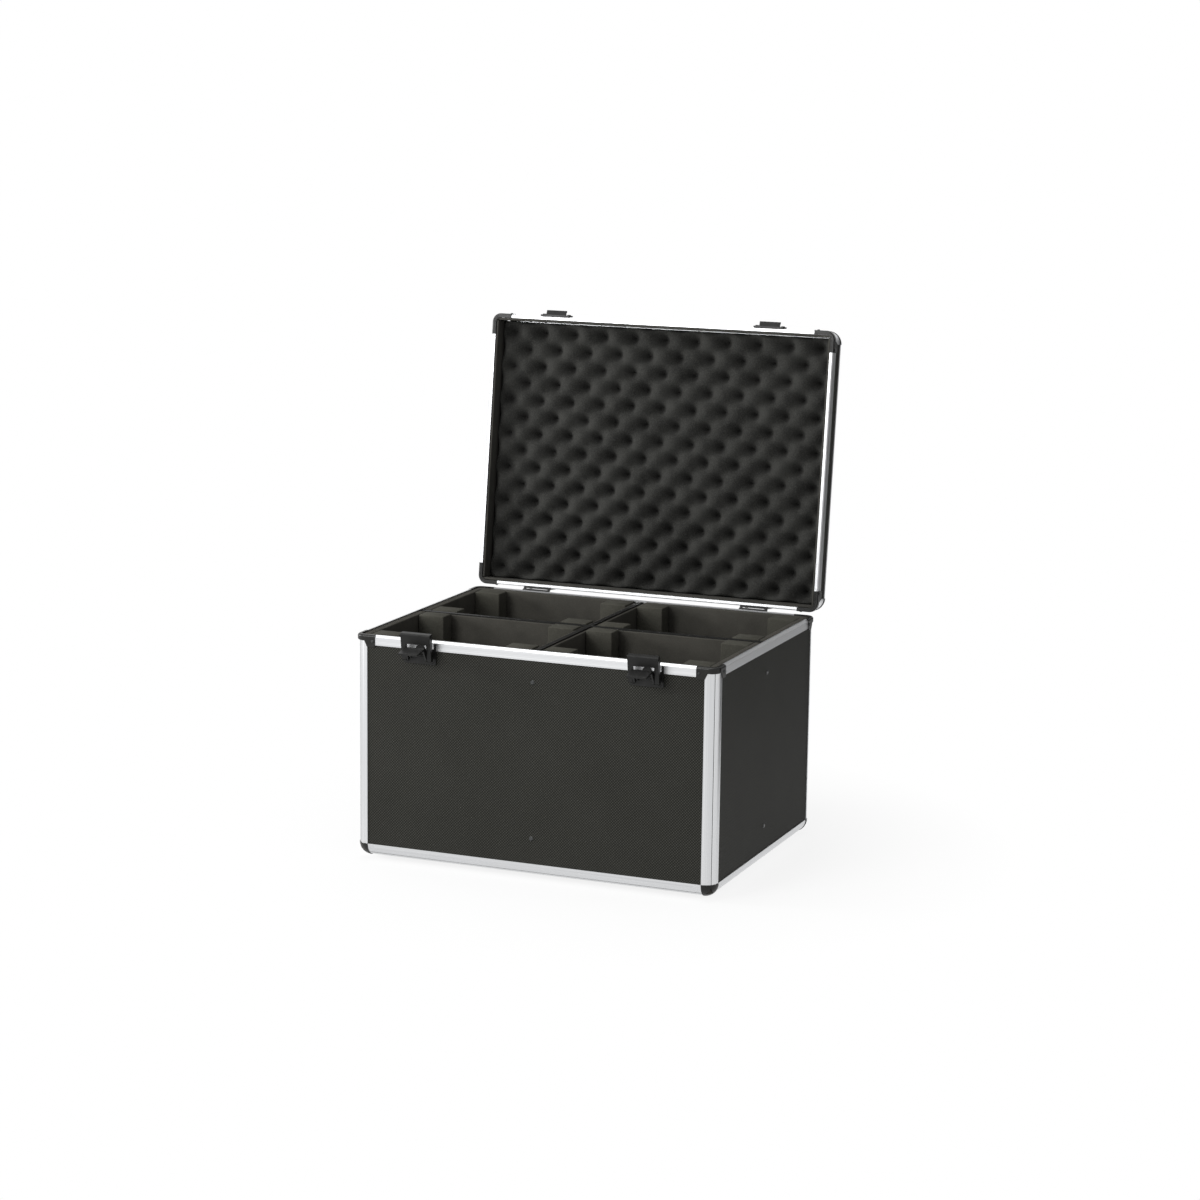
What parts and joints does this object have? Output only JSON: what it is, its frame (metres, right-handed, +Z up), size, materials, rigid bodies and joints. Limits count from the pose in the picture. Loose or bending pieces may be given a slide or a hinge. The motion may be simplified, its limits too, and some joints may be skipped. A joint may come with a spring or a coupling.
{
  "type": "flight_case",
  "caption": "Black laminate flight case with aluminium edges, plastic corners, draw latches, an egg-crate foam lid and a divided foam-lined base, shown open.",
  "frame": {"origin": "Centre of the open case's outline seen from above, on the floor under the feet.", "axes": "+X runs to the right along the latch side, -Y is the latch side, +Y the hinge side, +Z is up."},
  "size_m": [0.534, 0.5432, 0.7288],
  "materials": {
    "panel_laminate": "black textured laminate on board",
    "edge_aluminium": "satin anodised extrusion",
    "corner_plastic": "moulded black plastic",
    "plated_steel": "bright zinc-plated steel",
    "black_steel": "black painted steel",
    "soft_foam": "open-cell foam, matt",
    "liner_foam": "closed-cell liner foam, matt",
    "divider_laminate": "black faced board",
    "foot_rubber": "moulded rubber",
    "grip_plastic": "moulded black grip"
  },
  "bodies": {
    "base": {"base_ball_corners": "corner_plastic", "base_bottom_panel": "panel_laminate", "base_bottom_profiles": "edge_aluminium", "base_corner_screws": "plated_steel", "base_front_panel": "panel_laminate", "base_left_panel": "panel_laminate", "base_rear_panel": "panel_laminate", "base_right_panel": "panel_laminate", "base_rim_corners": "corner_plastic", "base_rim_profiles": "edge_aluminium", "base_upright_profiles": "edge_aluminium", "base_wall_liner": "liner_foam", "divider_cross": "divider_laminate", "divider_foam": "liner_foam", "divider_long": "divider_laminate", "divider_screws": "black_steel", "feet": "foot_rubber", "floor_pad": "liner_foam", "foam_blocks_front_left": "soft_foam", "foam_blocks_front_right": "soft_foam", "foam_blocks_rear_left": "soft_foam", "foam_blocks_rear_right": "soft_foam", "foot_screws": "black_steel", "hinge_base_leaves": "black_steel", "hinge_base_screws": "black_steel", "hinge_pins": "plated_steel", "latch_base_left": "black_steel", "latch_base_right": "black_steel", "latch_lever_pins": "plated_steel", "latch_screws": "black_steel"},
    "lid": {"egg_crate_foam": "soft_foam", "handle_brackets": "grip_plastic", "handle_pins": "plated_steel", "handle_screws": "plated_steel", "hinge_lid_leaves": "black_steel", "hinge_lid_screws": "black_steel", "lid_ball_corners": "corner_plastic", "lid_corner_screws": "plated_steel", "lid_edge_profiles": "edge_aluminium", "lid_front_panel": "panel_laminate", "lid_left_panel": "panel_laminate", "lid_liner": "liner_foam", "lid_rear_panel": "panel_laminate", "lid_right_panel": "panel_laminate", "lid_rim_corners": "corner_plastic", "lid_rim_profiles": "edge_aluminium", "lid_top_panel": "panel_laminate", "lid_upright_profiles": "edge_aluminium", "striker_screws": "black_steel", "strikers": "black_steel"},
    "latch_lever_left": {"latch_lever_left": "black_steel", "latch_hook_pins_left": "plated_steel"},
    "latch_lever_right": {"latch_lever_right": "black_steel", "latch_hook_pins_right": "plated_steel"},
    "latch_hook_left": {"latch_hook_left": "black_steel"},
    "latch_hook_right": {"latch_hook_right": "black_steel"},
    "handle": {"handle": "grip_plastic"}
  },
  "joints": [
    {"name": "lid_hinge", "type": "hinge", "parent": "base", "child": "lid", "pos_m": [0, 0.17345, 0.3194], "axis": [1, 0, 0], "range_deg": [0, 97]},
    {"name": "latch_lever_left", "type": "hinge", "parent": "base", "child": "latch_lever_left", "pos_m": [-0.166, -0.23965, 0.299], "axis": [1, 0, 0], "range_deg": [0, 100]},
    {"name": "latch_hook_left", "type": "hinge", "parent": "latch_lever_left", "child": "latch_hook_left", "pos_m": [-0.166, -0.24055, 0.2955], "axis": [1, 0, 0], "range_deg": [-10, 20]},
    {"name": "latch_lever_right", "type": "hinge", "parent": "base", "child": "latch_lever_right", "pos_m": [0.166, -0.23965, 0.299], "axis": [1, 0, 0], "range_deg": [0, 100]},
    {"name": "latch_hook_right", "type": "hinge", "parent": "latch_lever_right", "child": "latch_hook_right", "pos_m": [0.166, -0.24055, 0.2955], "axis": [1, 0, 0], "range_deg": [-10, 20]},
    {"name": "lid_handle", "type": "hinge", "parent": "lid", "child": "handle", "pos_m": [0, 0.25678, 0.5148], "axis": [1, 0, 0], "range_deg": [-7, 83]}
  ]
}
